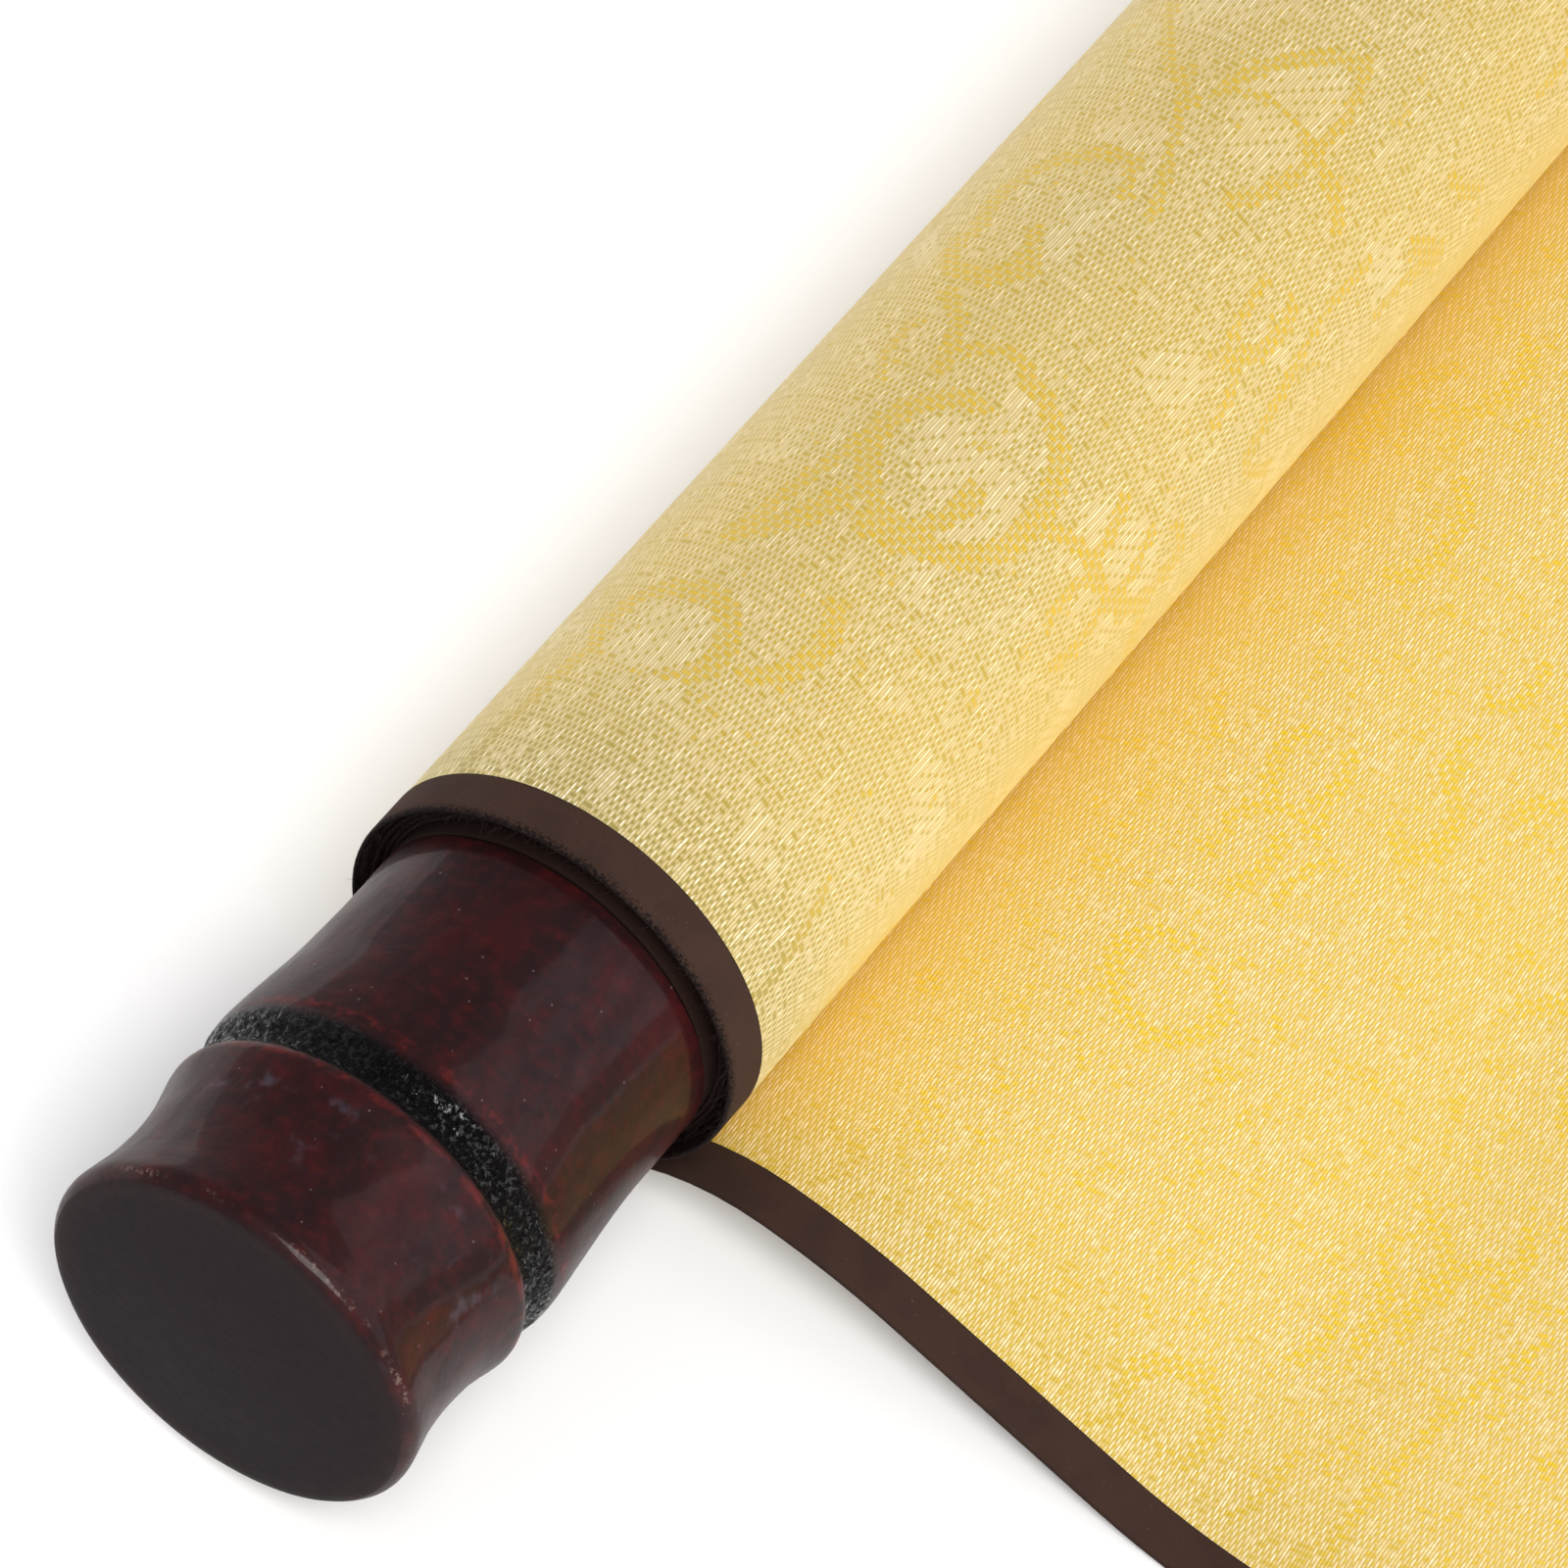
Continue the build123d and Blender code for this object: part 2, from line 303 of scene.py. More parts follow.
def piece_from(name, points, faces, finishes, finish_of_face=None, flat=None, crease=40):
    """A mesh object from points in millimetres; flat gives each corner's place on the unrolled piece."""
    mesh = bpy.data.meshes.new(name)
    mesh.from_pydata((np.asarray(points) / 1000).tolist(), [], faces)
    for finish in finishes:
        mesh.materials.append(finish)
    if finish_of_face is not None:
        mesh.polygons.foreach_set("material_index", finish_of_face)
    if flat is not None:
        corners = np.zeros(len(mesh.loops), np.int32)
        mesh.loops.foreach_get("vertex_index", corners)
        mesh.uv_layers.new(name="flat").data.foreach_set("uv", np.asarray(flat, np.float32)[corners].ravel())
    mesh.polygons.foreach_set("use_smooth", [True] * len(mesh.polygons))
    mesh.set_sharp_from_angle(angle=math.radians(crease))
    mesh.update()
    piece = bpy.data.objects.new(name, mesh)
    scene.collection.objects.link(piece)
    return piece


# How far apart the golden threads and the pairs of cream threads lie, and after how far the figure repeats.
thread_pitch = (0.532, 0.405, 1.0)
pattern_repeat = (88.0, 46.0, 1.0)
# The woven figures: each stroke is an arc through three points, in millimetres, and half its breadth.
wrapper_figure = [
    ((3, 2.6), (9, 2.6), (15, 3.8), 0.6),
    ((14.5, 3.6), (20.5, 7.8), (14, 10.3), 0.8),
    ((25, 6), (32, 8.1), (39.5, 9.6), 0.6),
    ((25.5, 6.3), (28, 9), (31.5, 10.6), 0.9),
    ((42, 9.6), (46, 8.6), (48, 7), 0.6),
    ((40.5, 7), (43, 5.7), (46, 6.3), 0.4),
    ((31, 14), (36, 9.5), (42, 13.5), 0.8),
    ((30, 13.5), (36.5, 20), (45.3, 14), 0.8),
    ((45.3, 14.5), (45.8, 12), (44.8, 10.5), 0.5),
    ((31, 14.6), (33.5, 15.9), (37, 16.2), 0.7),
    ((17.3, 14), (20, 15.3), (24.5, 14.2), 0.7),
    ((37, 20), (39.3, 22), (40, 26), 0.6),
    ((40, 24.6), (42.5, 24.2), (45, 23.2), 0.5),
    ((35, 25), (37, 24.8), (39.5, 25.2), 0.4),
    ((40.5, 28), (43, 27.5), (46, 26.2), 0.5),
    ((34, 27.5), (37, 28.1), (40, 27.3), 0.5),
    ((40, 26), (41.5, 29), (45.5, 30), 0.6),
    ((45.5, 30), (47.6, 29.4), (48, 28), 0.7),
    ((43.5, 31), (42.9, 33), (44, 36), 0.7),
    ((51, 8.5), (50.6, 5.8), (55, 4), 0.8),
    ((55, 4), (61, 4.8), (63.3, 8.6), 0.7),
    ((51, 7.8), (53.5, 8.5), (55.5, 7.8), 0.5),
    ((63.3, 8.8), (62, 10.2), (60, 10.6), 0.5),
    ((60, 13), (65, 11.2), (70, 9), 0.4),
    ((70, 9.3), (73.5, 5.8), (79, 3), 0.5),
    ((65.5, 16.3), (67, 17), (70, 17.6), 0.6),
    ((70, 17.6), (75, 17.7), (80, 16.8), 0.4),
    ((70.3, 10.5), (72.6, 14), (72, 17), 0.4),
    ((71.5, 11), (76, 13), (79.5, 16.8), 0.6),
    ((71.5, 17.8), (71.1, 19.5), (69.5, 22), 0.7),
    ((53, 24.5), (56, 23.7), (58, 22.5), 0.4),
    ((57, 21.8), (60, 20.9), (62, 20.6), 0.4),
    ((57.5, 22.5), (60, 23.5), (64, 22.8), 0.6),
    ((56, 28), (59, 27.1), (62.5, 25.8), 0.5),
    ((55.3, 28), (56, 30), (58, 31), 0.5),
    ((62, 26), (66, 25.1), (71, 25.2), 0.3),
    ((70, 28.8), (74, 28.9), (78, 29.6), 0.5),
    ((74.5, 27), (76.3, 28.4), (77, 30), 0.8),
    ((80, 25.5), (81, 27.5), (83, 28.5), 0.6),
    ((3, 27), (7, 26.5), (12, 25), 0.4),
    ((8, 36), (14, 34.2), (20, 36.5), 0.6),
    ((20, 36.5), (24.5, 39), (22, 42.5), 0.8),
    ((56, 37), (62, 35.6), (68, 38.5), 0.6),
    ((68, 38.5), (71, 41), (68, 43.5), 0.8),
]
face_figure = [
    ((33, 16.8), (26.5, 18.2), (32.5, 21.2), 0.7),
    ((25.5, 15), (27, 15.8), (29, 16.2), 0.3),
    ((38, 17.5), (40.5, 18.4), (43.5, 18.2), 0.6),
    ((42, 15), (44.5, 16.5), (45, 20), 0.5),
    ((45, 16), (48, 15), (51, 15.5), 0.6),
    ((46.5, 18), (49, 19), (51.5, 18.2), 0.5),
    ((39, 20.5), (42, 20.5), (44.5, 21.5), 0.4),
    ((48, 23.5), (51, 26), (54, 24.5), 0.7),
    ((54, 24.8), (56, 23.2), (58.5, 24), 0.5),
    ((55.5, 28.5), (58, 29.5), (59, 31), 0.6),
    ((60.5, 23), (63, 24.5), (66, 24), 0.5),
    ((6, 32), (10, 32.8), (10.8, 35.5), 0.7),
    ((10.8, 35.5), (9, 37.3), (5.5, 36.6), 0.6),
    ((3.5, 31), (4.5, 32), (6, 32.5), 0.4),
    ((5, 41), (8, 42), (11.5, 41.6), 0.4),
    ((16, 38.5), (19, 39), (22, 38.2), 0.5),
    ((19, 41), (23, 40.5), (26, 38.5), 0.6),
    ((22, 42.5), (26, 42), (30, 44.5), 0.6),
    ((25, 43), (28.5, 41.5), (30, 39.5), 0.5),
    ((28, 45), (31, 45.4), (33, 44.5), 0.6),
    ((8, 0.8), (17, 1.2), (28, 3.4), 0.4),
    ((66, 2.5), (71, 4.5), (76, 3), 0.7),
    ((70, 7), (75, 6), (80, 8.5), 0.6),
    ((76, 9), (80, 11.5), (85, 10), 0.6),
    ((63, 13), (68, 15), (72, 13.5), 0.6),
    ((70, 34), (77, 31), (83, 35), 0.6),
    ((46, 36), (52, 39), (59, 36), 0.6),
    ((40, 43), (46, 41), (50, 44), 0.5),
]


def circle_through(a, b, c):
    """The centre and radius of the circle through three points."""
    rows = np.array([[b[0] - a[0], b[1] - a[1]], [c[0] - a[0], c[1] - a[1]]], float)
    square = [(p[0] ** 2 + p[1] ** 2 - a[0] ** 2 - a[1] ** 2) / 2 for p in (b, c)]
    centre = np.linalg.solve(rows, square)
    return tuple(centre), math.dist(centre, a)


def damask(
    name, figure, float_discs, side, start_at, lean, pairing, flecks, loose, crevice,
    cream, light, spot, row_shade_tone, bar, warm, painted_bounce_tone, painted_glow_strength, tape_side_shading,
):
    """Damask silk: pairs of cream threads across the sheet, golden ones along it, and a figure.

    In the figure's strokes the golden threads lie on top, and in its loose patches the cream ones float.
    lean is how far the threads run askew, pairing how tightly the cream ones lie in twos, and
    tape_side_shading how strongly the silk beside the tape, where its threads stand apart, is painted darker
    and greener in its gaps (painted shade) and brighter on its highlights (painted highlight). light is the
    colour of the painted highlights along the cream rows, and row_shade_tone that of the painted shade in the
    gaps between them. Near the crevice the silk is painted towards painted_bounce_tone, by
    painted_glow_strength: a painted glow standing in for light bounced from the silk across from it.
    """
    material, shader, start = new_finish(name, IOR=1.4, Sheen_Weight=0.1, Sheen_Roughness=0.5)
    flat = start.node("UVMap", {"uv_map": "flat"})
    crossed = start.node("CombineXYZ", {}, {0: flat.axis("Y") - wound_length, 1: flat.axis("X")})
    leaning = crossed.vectors("MULTIPLY", (*lean, 0.0))
    pulled = flat.vectors("ADD", leaning)
    slow, quick = ((0.17, 0.12, 0.0), (0.14, 0.16, 0.0)), ((0.71, 0.93, 0.0), (0.05, 0.04, 0.0))
    for how_often, how_far in (slow, quick):
        sway = crossed.vectors("MULTIPLY", how_often).vectors("SINE").vectors("MULTIPLY", how_far)
        pulled = pulled.vectors("ADD", sway)
    cell = pulled.vectors("DIVIDE", thread_pitch)
    whole, part = cell.vectors("FLOOR"), cell.vectors("FRACTION")
    column, off_column = whole.axis("X"), abs(part.axis("X") - 0.5)
    rows = cell.axis("Y") * 2.0
    row, row_place = rows.maths("FLOOR", rows), rows.maths("FRACT", rows)
    off_row = abs(row_place - 0.5)
    row_round = 1 - 4 * off_row * off_row
    inside_pair = abs(part.axis("Y") - 0.5) < 0.25
    spot_round = 1 - (off_column * off_column / 0.12 + off_row * off_row / 0.3)

    figure_place = whole.vectors("MULTIPLY", thread_pitch).vectors("SUBTRACT", leaning)
    figure_place = figure_place.vectors("MULTIPLY", (1.0, side, 0.0)).vectors("ADD", (*start_at, 0.0))
    figure_place = figure_place.vectors("WRAP", pattern_repeat, (0.0, 0.0, 0.0))
    pattern = None
    for first, middle, last, breadth in figure:
        centre, radius = circle_through(first, middle, last)
        reach = max(math.dist(middle, first), math.dist(middle, last))
        from_centre = figure_place.vectors("DISTANCE", (*centre, 0.0), output="Value")
        from_middle = figure_place.vectors("DISTANCE", (*middle, 0.0), output="Value")
        band = from_centre.maths("COMPARE", from_centre, radius, breadth)
        near = from_middle < reach
        pattern = band * near if pattern is None else band.maths("MULTIPLY_ADD", band, near, pattern)
    crossing = start.node("CombineXYZ", {}, {0: column, 1: row})
    chance = start.node("TexWhiteNoise", {"noise_dimensions": "3D"}, {"Vector": crossing}, "Value")
    fleck = clouds(figure_place, 0.42, 3.0, 0.6) - 0.12 * chance
    pattern = (pattern + (fleck > flecks)) > 0.5

    patches = clouds(figure_place, 0.16, 2.0)
    floats = patches > loose
    raggedness = 9
    for x, y, radius in float_discs:
        from_disc = figure_place.vectors("DISTANCE", (x, y, 0.0), output="Value")
        floats = floats + (from_disc + raggedness * patches < radius + 3.5)
    floats = (floats > 0.5) * (1 - pattern)

    plain_over = (column + row) % 2.0
    uneven_over = plain_over * (chance > 0.15) + (1 - plain_over) * (chance > 0.96)
    float_over = ((2 * column + row) % 5.0 < 0.5) * (chance > 0.2)
    bar_over = (2 * column + row) % 4.0 > 0.5
    over = uneven_over * (1 - floats) * (1 - pattern) + float_over * floats + bar_over * pattern
    bar_round = 1 - off_column.smooth(0.26, 0.46)
    golden = over * (pattern * bar_round + (1 - pattern) * spot_round.smooth(0.0, 0.6))
    dash = crossing.vectors("MULTIPLY", (0.5, 1.0, 1.0)).vectors("FLOOR")
    dash_chance = start.node("TexWhiteNoise", {"noise_dimensions": "3D"}, {"Vector": dash}, "Value")
    yarn = clouds(pulled.vectors("MULTIPLY", (0.6, 5.0, 1.0)), 1.0, 3.0, 0.6)
    shade = clouds(pulled, 0.06, 3.0, 0.6)
    grain = (1 - over) * (1 - 2.6 * (1 - floats) * off_column * off_column)
    # Painted highlight: shine is a thin lighter streak along each cream row, on the cream grains only,
    # painted in the colour light.
    shine = (1 - abs(row_place - 0.6).smooth(0.08, 0.42)) * (0.3 + 0.7 * dash_chance) * yarn.smooth(0.25, 0.6)
    shine = shine * grain * (1 - pairing * (1 - row % 2.0))
    # Painted shade: the cream rows darken towards their edges into row_shade_tone, the shade in the gaps
    # between threads, less inside a pair.
    painted_row_shade = (1 - row_round.smooth(0.0, 0.5)) * (1 - pairing * inside_pair)
    cream_with_painted_light = shine.mix(painted_row_shade.mix(cream, row_shade_tone), light)
    spot_tone = (chance.smooth(0.3, 1.1) * 0.5).mix(spot, warm)
    # Painted shade: each golden bar is painted darker, towards the spot colour, at its edges, standing in for
    # shade between the bars.
    bar_with_edge_shade = ((1 - off_column.smooth(0.2, 0.46)) * (0.6 + 0.4 * dash_chance)).mix(spot, bar)
    spot_tone = pattern.mix(spot_tone, bar_with_edge_shade)
    cloth = (golden * (0.7 + 0.3 * chance)).mix(cream_with_painted_light, spot_tone)
    cloth = (shade.smooth(0.35, 0.8) * 0.2).mix(cloth, bar)
    # Painted bounce light: near the crevice the silk is painted towards a warm light colour, standing in for
    # light bounced from the silk across from it.
    lit_from, lit_to = 1.0, 17.0
    from_crevice = abs(flat.axis("Y") - crevice)
    cloth = ((1 - from_crevice.smooth(lit_from, lit_to)) * painted_glow_strength).mix(cloth, painted_bounce_tone)
    # Painted shade and highlight beside the tape: the silk there is painted darker and greener, most in its
    # gaps, and its highlights painted brighter.
    open_from, open_to = 3.0, 15.0
    from_edge = sheet_width / 2 - abs(flat.axis("X") - sheet_width / 2)
    tape_side_shade_and_shine = (1 - from_edge.smooth(open_from, open_to)) * tape_side_shading
    cloth = (tape_side_shade_and_shine * (0.2 + 0.75 * painted_row_shade + 0.5 * golden)).mix(cloth, colour(132, 124, 70))
    cloth = (tape_side_shade_and_shine * shine * 0.9).mix(cloth, colour(248, 240, 216))
    relief = row_round * (1 - 0.55 * plain_over * spot_round.maths("MAXIMUM", spot_round, 0.0))
    feed(shader, Base_Color=cloth, Roughness=0.6 - 0.12 * golden, Normal=bumped(relief, 4e-5))
    return material


wrapper_silk = damask(
    "wrapper_silk",
    wrapper_figure,
    [(37, 15, 4.5), (42, 27, 5), (73, 14, 5), (16, 8, 4), (65, 38, 4.5)],
    side=-1,
    start_at=(0.0, wound_length - 36.5),
    lean=(-0.11, 0.01),
    pairing=0.65,
    flecks=0.61,
    loose=0.62,
    crevice=wound_length - 80,
    cream=colour(197, 176, 119),
    light=colour(241, 226, 186),
    spot=colour(168, 146, 28),
    row_shade_tone=colour(154, 134, 74),
    bar=colour(204, 166, 34),
    warm=colour(186, 152, 52),
    painted_bounce_tone=colour(236, 202, 90),
    painted_glow_strength=0.75,
    tape_side_shading=1.0,
)
face_silk = damask(
    "face_silk",
    face_figure,
    [],
    side=1,
    start_at=(0.0, -wound_length),
    lean=(-0.28, 0.045),
    pairing=0.2,
    flecks=0.555,
    loose=0.75,
    crevice=wound_length,
    cream=colour(215, 187, 112),
    light=colour(246, 228, 190),
    spot=colour(210, 180, 52),
    row_shade_tone=colour(204, 170, 84),
    bar=colour(222, 184, 22),
    warm=colour(216, 174, 52),
    painted_bounce_tone=colour(222, 180, 72),
    painted_glow_strength=0.4,
    tape_side_shading=0.35,
)
backing_paper, paper_shader, start = new_finish("backing_paper", IOR=1.4)
fibres = clouds(object_place(start, (1, 1, 1)), 3.0, 3.0)
feed(
    paper_shader,
    Base_Color=fibres.mix(colour(214, 196, 150), colour(236, 224, 190)),
    Roughness=0.8 + 0.1 * fibres,
    Normal=bumped(fibres, 2e-5),
)

# The silk ends inside the folded tape. Where the sheet lies on the table it is a little rippled.
columns = np.linspace(-sheet_width / 2 + silk_inset, sheet_width / 2 - silk_inset, widths_across + 1)
on_table = np.clip((along - wound_length - 45) / 30, 0, 1) * np.clip((sheet_length - 75 - along) / 30, 0, 1)
layers = []
for depth in (tape_skin, sheet_thickness - tape_skin):
    for x in columns:
        strip = beside_course(x, depth)
        ripple = math.sin(x / 47 + 0.6) * np.sin(along / 19) + math.sin(x / 29 + 2) * np.sin(along / 31 + 1)
        clear_of_tape = min(1.0, (sheet_width / 2 - silk_inset - abs(x)) / 15)
        strip[:, 2] += 0.12 * on_table * clear_of_tape * (2 + ripple)
        layers.append(strip)
sheet_points = np.concatenate(layers)
stations, strips = len(course), widths_across + 1


def corner(side, strip, station):
    """The number of a point on the underside (0) or the face (1)."""
    return (side * strips + strip) * stations + station


sheet_faces, sheet_finishes = [], []
for strip in range(widths_across):
    beside = strip + 1
    for s in range(stations - 1):
        under = [corner(0, strip, s), corner(0, strip, s + 1), corner(0, beside, s + 1), corner(0, beside, s)]
        over = [corner(1, strip, s), corner(1, beside, s), corner(1, beside, s + 1), corner(1, strip, s + 1)]
        sheet_faces += [under[::-1], over[::-1]]
        sheet_finishes += [0, 1]
    for s in (0, stations - 1):
        end_face = [corner(0, strip, s), corner(1, strip, s), corner(1, beside, s), corner(0, beside, s)]
        sheet_faces.append(end_face)
        sheet_finishes.append(2)
for strip in (0, widths_across):
    for s in range(stations - 1):
        edge_face = [corner(0, strip, s), corner(1, strip, s)]
        edge_face += [corner(1, strip, s + 1), corner(0, strip, s + 1)]
        sheet_faces.append(edge_face)
        sheet_finishes.append(2)
mounted_sheet = piece_from(
    "mounted_silk_sheet",
    sheet_points,
    sheet_faces,
    [wrapper_silk, face_silk, backing_paper],
    finish_of_face=sheet_finishes,
    flat=np.stack([sheet_points[:, 0] + sheet_width / 2, np.tile(along, 2 * strips)], axis=1),
)
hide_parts("mounted_sheet")
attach(mounted_sheet, "root")

# ---- Edge tapes
# A strip of thin dark brown cloth folded over each side edge of the sheet and pasted to both faces. It
# follows every turn of the roll, so the roll's ends are rings of folded tape with loose fibres.
tape_width = 3.2
# Its section, as distances in from the fold and up from the underside.
tape_section = [
    (tape_width, 0.0),
    (tape_width / 2, 0.0),
    (0.22, 0.0),
    (0.07, 0.04),
    (0.0, 0.12),
    (0.0, 0.23),
    (0.07, 0.31),
    (0.22, 0.35),
    (tape_width / 2, 0.35),
    (tape_width, 0.35),
    (tape_width, 0.30),
    (0.09, 0.30),
    (0.09, 0.05),
    (tape_width, 0.05),
]
sections = len(tape_section)

brown_tape, tape_shader, start = new_finish("brown_tape", IOR=1.4, Specular_IOR_Level=0.2)
tape_flat = start.node("UVMap", {"uv_map": "flat"})
from_fold = tape_flat.axis("X")
felt = clouds(object_place(start, (1, 1, 1)), 6.0, 4.0, 0.7)
blotch = clouds(object_place(start, (1, 1, 1)), 0.35, 2.0)
speck = clouds(object_place(start, (1, 1, 1)), 4.5, 1.0)
tape_tone = felt.mix(colour(46, 30, 24), colour(64, 46, 38))
tape_tone = (blotch.smooth(0.4, 0.7) * 0.4).mix(tape_tone, colour(44, 30, 25))
tape_tone = (speck.smooth(0.74, 0.8) * 0.4).mix(tape_tone, colour(110, 88, 78))
where_wound = 1 - tape_flat.axis("Y").smooth(wound_length - 4, wound_length)
# Painted shade: the tape is painted near black along its fold, with a ragged border where it is wound,
# standing in for the shade at the folded edge.
ragged_fold_shade = from_fold - 0.7 * where_wound * felt.smooth(0.35, 0.7)
tape_tone = (1 - ragged_fold_shade.smooth(-0.3, 0.25)).mix(tape_tone, colour(12, 7, 7))
# Painted shadow: a thin dark line along the tape's inner edge, where the tape's edge steps onto the silk.
tape_tone = from_fold.smooth(tape_width - 0.09, tape_width - 0.02).mix(tape_tone, colour(12, 9, 9))
# Painted shade: on the turns inside the outermost one the tape is painted near black, standing in for the
# shade in the recessed roll end.
painted_shade_inside = 1 - tape_flat.axis("Y").smooth(wound_length - 80, wound_length - 72)
tape_tone = painted_shade_inside.mix(tape_tone, felt.mix(colour(8, 5, 5), colour(40, 22, 17)))
feed(tape_shader, Base_Color=tape_tone, Roughness=0.75 + 0.2 * felt, Normal=bumped(felt, 3e-5))

# The turns inside the outermost one were wound a little further in, unevenly.
inner_turns = np.clip((wound_length - 78 - along) / 25, 0, 1)
recess = inner_turns * (1.1 + 0.2 * np.sin(along / 17) + 0.15 * np.sin(along / 5.3 + 1))
recess *= np.clip((along - wound_length + 420) / 20, 0, 1)
for end, side in (("near", -1), ("far", 1)):
    edge = side * sheet_width / 2
    strings = []
    for inward, depth in tape_section:
        strings.append(beside_course(edge - side * (inward + recess * (inward < 1)), depth))
    tape_faces = []
    for k in range(sections):
        after = (k + 1) % sections
        for s in range(stations - 1):
            quad = [k * stations + s, k * stations + s + 1, after * stations + s + 1, after * stations + s]
            tape_faces.append(quad if side > 0 else quad[::-1])
    for s in (0, stations - 1):
        ring = [k * stations + s for k in range(sections)]
        tape_faces.append(ring if (s == 0) == (side > 0) else ring[::-1])
    fold = np.repeat([inward for inward, _ in tape_section], stations)
    tape_place = np.stack([fold, np.tile(along, sections)], axis=1)
    tape = piece_from(f"{end}_edge_tape", np.concatenate(strings), tape_faces, [brown_tape], flat=tape_place)
    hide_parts(f"edge_tape_{end}")
    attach(tape, "root")

# Loose fibres of the cut cloth stand out of the folded edge, most of them where it is wound.
draw = np.random.default_rng(11)
outer_turn_from, fibres_from = 12.6, 11.6
tape_end, recessed_end = 139.9, 138.9
fibre_points, fibre_faces = [], []
for side, count in ((-1, 620), (1, 420)):
    for _ in range(count):
        turned, radius = draw.uniform(0, 2 * math.pi), draw.uniform(11.8, 12.96)
        on_outer_turn = radius > outer_turn_from
        outward = np.array((0.0, math.cos(turned), math.sin(turned)))
        sideways = np.array((0.0, -math.sin(turned), math.cos(turned)))
        root_x = side * (tape_end if on_outer_turn else recessed_end)
        root = np.array((root_x, axis_y, axis_z)) + radius * outward
        way = np.array((side * draw.uniform(0.5, 1.0), 0.0, 0.0))
        way = way + draw.normal(-0.1, 0.3) * outward + draw.normal(0, 0.5) * sideways
        length = 0.35 + draw.exponential(0.3) + (not on_outer_turn) * 0.5
        thick = draw.uniform(0.02, 0.035)
        bent = root + 0.5 * length * way
        tip = bent + 0.5 * length * (way + draw.normal(0, 0.35, 3))
        too_low = min(bent[2], tip[2]) < 0.06
        if too_low or math.hypot(tip[1] - axis_y, tip[2] - axis_z) < fibres_from:
            continue
        first = len(fibre_points)
        for spot, share in ((root, 1.0), (bent, 0.8)):
            for k in range(3):
                bearing = 2 * math.pi * k / 3
                aside = math.cos(bearing) * outward + math.sin(bearing) * sideways
                fibre_points.append(spot + share * thick * aside)
        fibre_points.append(tip)
        fibre_faces.append([first + 2, first + 1, first])
        for k in range(3):
            after = (k + 1) % 3
            fibre_faces.append([first + k, first + after, first + 3 + after, first + 3 + k])
            fibre_faces.append([first + 3 + k, first + 3 + after, first + 6])
black_fibre, fibre_shader, start = new_finish("black_fibre", Specular_IOR_Level=0.2, Roughness=0.8)
fibre_shader.inputs["Base Color"].default_value = colour(26, 15, 12)
edge_fibres = piece_from("edge_fibres", fibre_points, fibre_faces, [black_fibre])
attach(edge_fibres, "root")

# ---- Knobs
# Turned hardwood ends glued on the rod's tenons, shaped like a length of bamboo with one joint and
# finished in dark maroon lacquer. The joint's groove is left rough and black, and the end is rubbed dull.
seat = 140.3
# The knob's outline, as distances out from its seat and radii; the groove's middle lies 17.4 out.
knob_profile = [
    (0.0, 11.45), (3.0, 11.45), (6.0, 11.48), (9.0, 11.64), (12.0, 11.94), (14.2, 12.15), (15.3, 12.2),
    (16.1, 12.12), (16.7, 11.92), (17.3, 11.74), (17.8, 11.68), (18.3, 11.8), (18.7, 12.1), (19.1, 12.26),
    (19.7, 12.2), (20.8, 11.93), (22.2, 11.66), (24.4, 11.53), (26.5, 11.68), (28.1, 12.0), (29.2, 12.22),
    (29.8, 12.1), (30.15, 11.8), (30.35, 11.3), (30.6, 8.0), (30.85, 4.5), (31.0, 0.0),
]
groove_middle, groove_half = 17.4, 1.6
socket_depth, socket_radius = 14.05, 5.05


def rounded_line(points, spacing):
    """Points on a smooth curve through the given ones, about spacing apart."""
    points = np.array(points, float)
    padded = np.concatenate([[2 * points[0] - points[1]], points, [2 * points[-1] - points[-2]]])
    line = []
    for a, b, c, d in zip(padded, padded[1:], padded[2:], padded[3:]):
        steps = max(2, math.ceil(math.dist(b, c) / spacing))
        for t in np.linspace(0, 1, steps, endpoint=False):
            curved = (2 * a - 5 * b + 4 * c - d) * t**2 + (3 * b - a - 3 * c + d) * t**3
            line.append(0.5 * (2 * b + (c - a) * t + curved))
    return np.array([*line, points[-1]])


lacquer, lacquer_shader, start = new_finish(
    "dark_lacquer", IOR=1.45, Specular_IOR_Level=0.12, Coat_Roughness=0.1, Coat_IOR=1.5
)
place = object_place(start, (1, 1, 1))
out = abs(place.axis("X")) - seat
mottle = clouds(place.vectors("MULTIPLY", (0.6, 1, 1)), 0.28, 4.0, 0.6)
stain = clouds(place.vectors("MULTIPLY", (1.0, 0.8, 0.8)), 1.1, 3.0, 0.6)
grit = clouds(place, 3.2, 3.0, 0.7)
in_groove = out.smooth(15.5, 16.3) * (1 - out.smooth(18.4, 19.0))
neck_rim, body_rim, end_rim = 15.2, 19.15, 29.7
polish = clouds(place.vectors("MULTIPLY", (0.6, 1.4, 1.4)), 0.45, 4.0, 0.65).smooth(0.35, 0.62)
on_end = out.smooth(29.9, 30.5)
body_tone = mottle.smooth(0.35, 0.8).mix(colour(28, 10, 12), colour(48, 11, 12))
body_tone = (stain.smooth(0.4, 0.85) * 0.45).mix(body_tone, colour(74, 15, 14))
body_tone = (grit.smooth(0.45, 0.75) * 0.25).mix(body_tone, colour(18, 9, 11))
wear = (1 - abs(out - body_rim).smooth(0.1, 0.4)) * stain.smooth(0.35, 0.6)
wear_on_neck = (1 - abs(out - neck_rim).smooth(0.1, 0.5)) * stain.smooth(0.45, 0.65)
wear = wear.maths("MAXIMUM", wear, wear_on_neck)
body_tone = (wear * 0.45).mix(body_tone, colour(96, 26, 24))
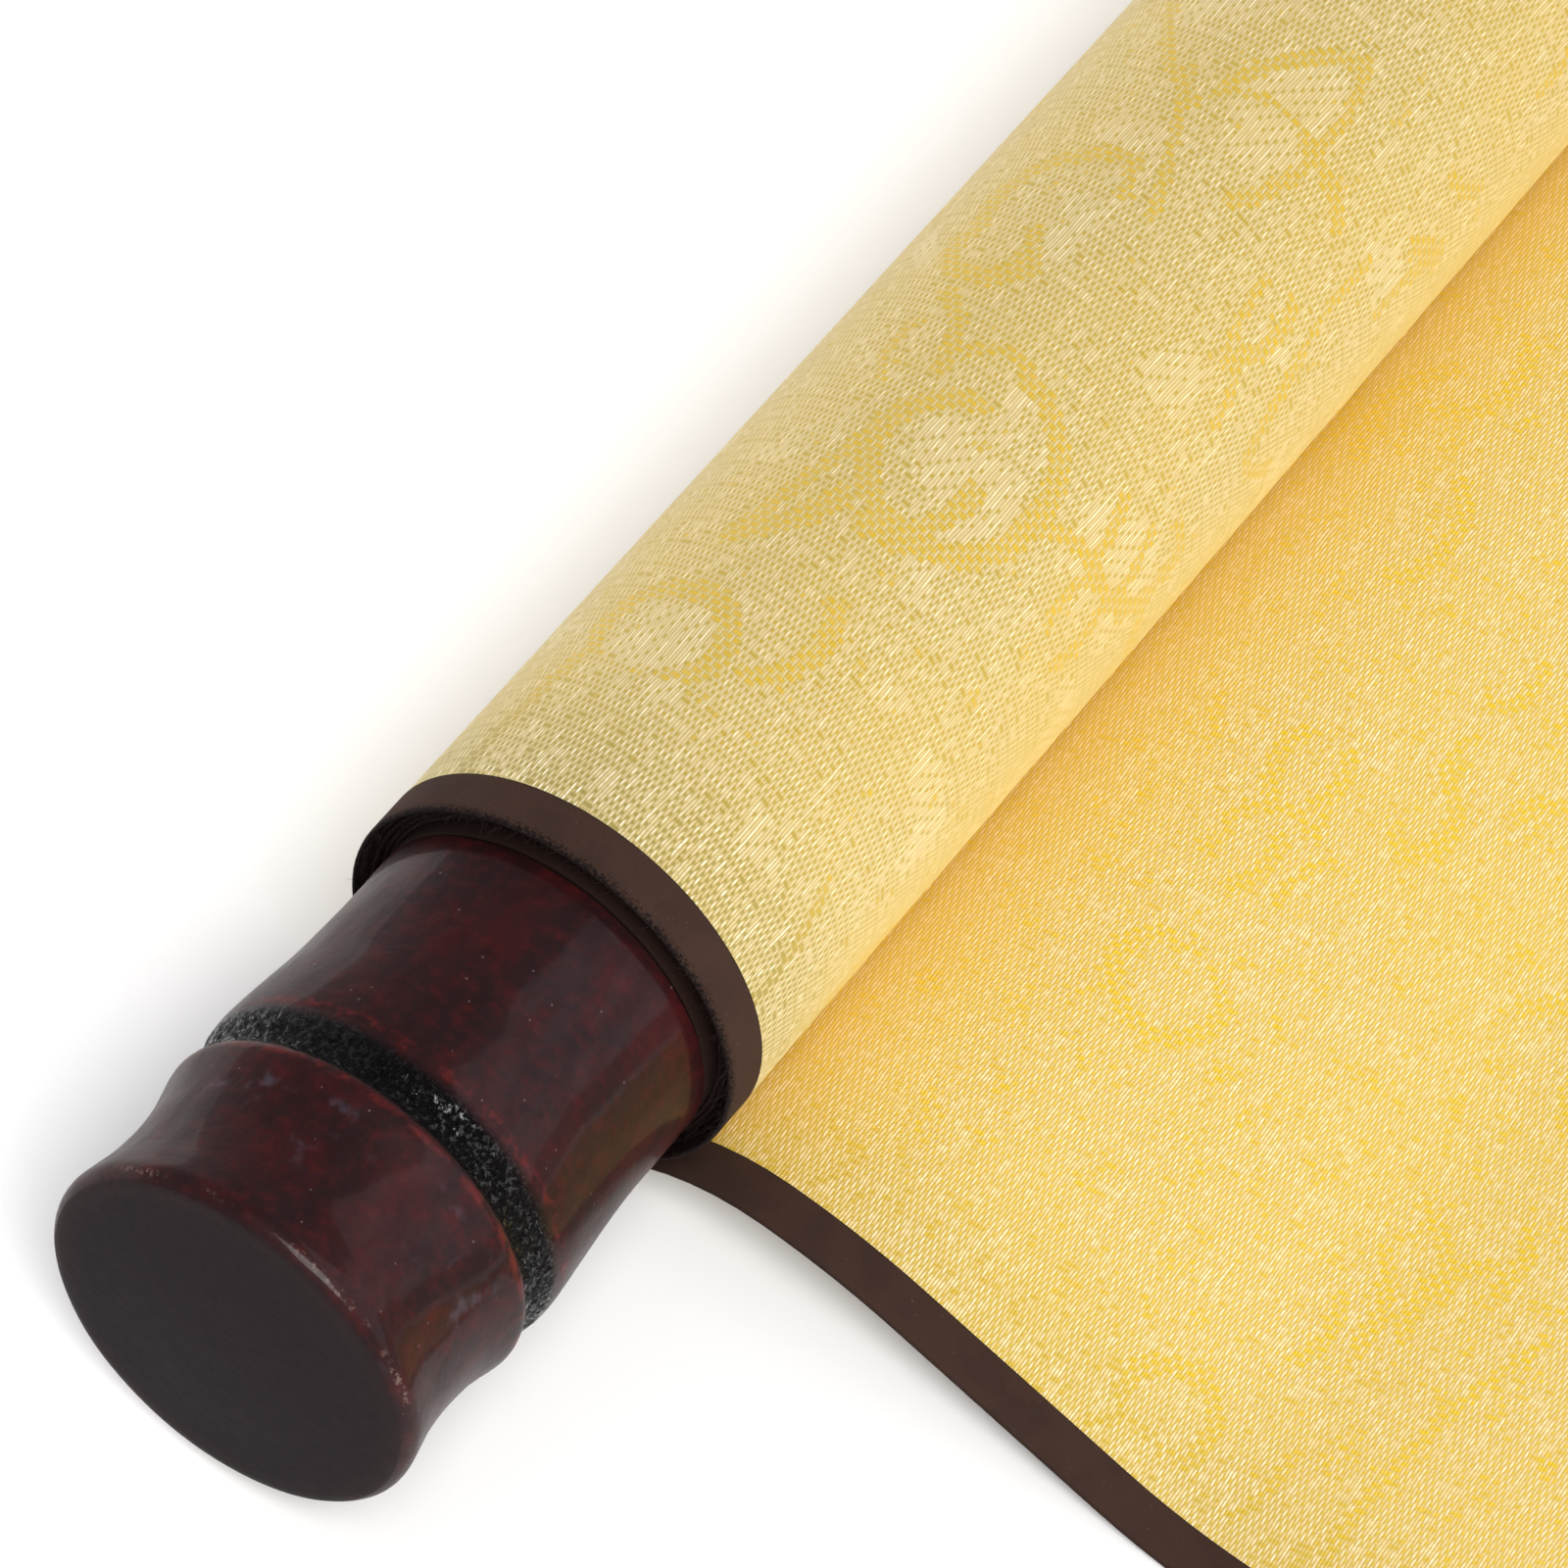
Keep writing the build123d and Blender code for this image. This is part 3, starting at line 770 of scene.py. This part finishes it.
# Dull patches on the waist: the coat is thinner there, and a grey-blue painted reflection is mixed into the
# colour.
dull_patch_and_painted_reflection = out.smooth(20.0, 21.0) * (1 - out.smooth(23.0, 26.0)) * clouds(place, 0.4, 3.0, 0.6).smooth(0.56, 0.72)
body_tone = (dull_patch_and_painted_reflection * 0.35).mix(body_tone, colour(84, 80, 92))
scuffed = (1 - abs(out - end_rim).smooth(0.05, 0.3)) * grit.smooth(0.5, 0.6) * mottle.smooth(0.45, 0.6)
body_tone = (scuffed * 0.4).mix(body_tone, colour(136, 112, 102))
dust = place.node("TexVoronoi", {"feature": "F1"}, {"Vector": place, "Scale": 0.7}, "Distance") < 0.055
body_tone = (dust * 0.35).mix(body_tone, colour(120, 104, 104))
body_tone = in_groove.mix(body_tone, colour(7, 5, 6))
end_tone = stain.mix(colour(22, 16, 18), colour(30, 22, 24))
body_tone = on_end.mix(body_tone, end_tone)
body_coat = (0.16 + 0.1 * polish) * (1 - on_end) * (1 - in_groove) * (1 - 0.5 * dull_patch_and_painted_reflection)
groove_coat = 0.8 * in_groove * grit.smooth(0.5, 0.62)
lacquer_relief = 0.12 * stain + 0.05 * grit + 0.06 * dust + in_groove * grit * 1.7
feed(
    lacquer_shader,
    Base_Color=body_tone,
    Roughness=0.5 + 0.2 * on_end - 0.15 * in_groove,
    Coat_Weight=body_coat + groove_coat,
    Normal=bumped(lacquer_relief, 4e-4),
)

around = 360
profile_step = 0.25
socket = [(socket_depth, 0.001), (socket_depth, socket_radius), (0.0, socket_radius)]
profile = np.concatenate([rounded_line(knob_profile, profile_step), socket])
rings = len(profile)
for end, side in (("near", -1), ("far", 1)):
    knob_points = []
    for out_place, radius in profile:
        for k in range(around):
            turned = 2 * math.pi * k / around
            rough = 0.0
            turned_outside = radius > 11 and 0.5 < out_place < 30.6
            if turned_outside:
                spot = Vector((out_place * side, radius * math.cos(turned), radius * math.sin(turned)))
                rough = 0.05 * noise.noise(spot * 0.22)
                groove_share = max(0.0, min(1.0, 2 * (1 - abs(out_place - groove_middle) / groove_half)))
                rough += groove_share * (0.1 * noise.noise(spot * 1.3) + 0.12 * noise.noise(spot * 2.9))
            y = axis_y + (radius + rough) * math.cos(turned)
            z = axis_z + (radius + rough) * math.sin(turned)
            knob_points.append((side * (seat + out_place), y, z))
    knob_faces = []
    for ring in range(rings):
        here, after = ring * around, (ring + 1) % rings * around
        for k in range(around):
            beside = (k + 1) % around
            quad = [here + k, here + beside, after + beside, after + k]
            knob_faces.append(quad if side < 0 else quad[::-1])
    knob = piece_from(f"{end}_lacquered_knob", knob_points, knob_faces, [lacquer], crease=50)
    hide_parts(f"knob_{end}")
    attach(knob, "root")

# ---- Top stave
# A strip of the same softwood as the roller, flat on the side towards the face and rounded behind. The
# sheet's top end is wrapped round it and pasted, so only its sawn ends show.
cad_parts["top_stave"].data.materials.clear()
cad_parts["top_stave"].data.materials.append(bare_wood)

# ---- Hanging eyelets
# Two brass screw eyes, each bent from one length of wire and a little tarnished. They are driven through
# the wrapped sheet into the stave's outer edge, to take the ends of a hanging cord.
brass, brass_shader, start = new_finish("brass_wire", Metallic=1.0)
tarnish = clouds(object_place(start, (1, 1, 1)), 0.9, 4.0, 0.6)
feed(
    brass_shader,
    Base_Color=tarnish.smooth(0.35, 0.75).mix(colour(212, 176, 98), colour(150, 112, 58)),
    Roughness=0.22 + 0.25 * tarnish,
    Normal=bumped(tarnish, 2e-5),
)
for node in ("eyelet_left", "eyelet_right"):
    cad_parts[node].data.materials.clear()
    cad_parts[node].data.materials.append(brass)
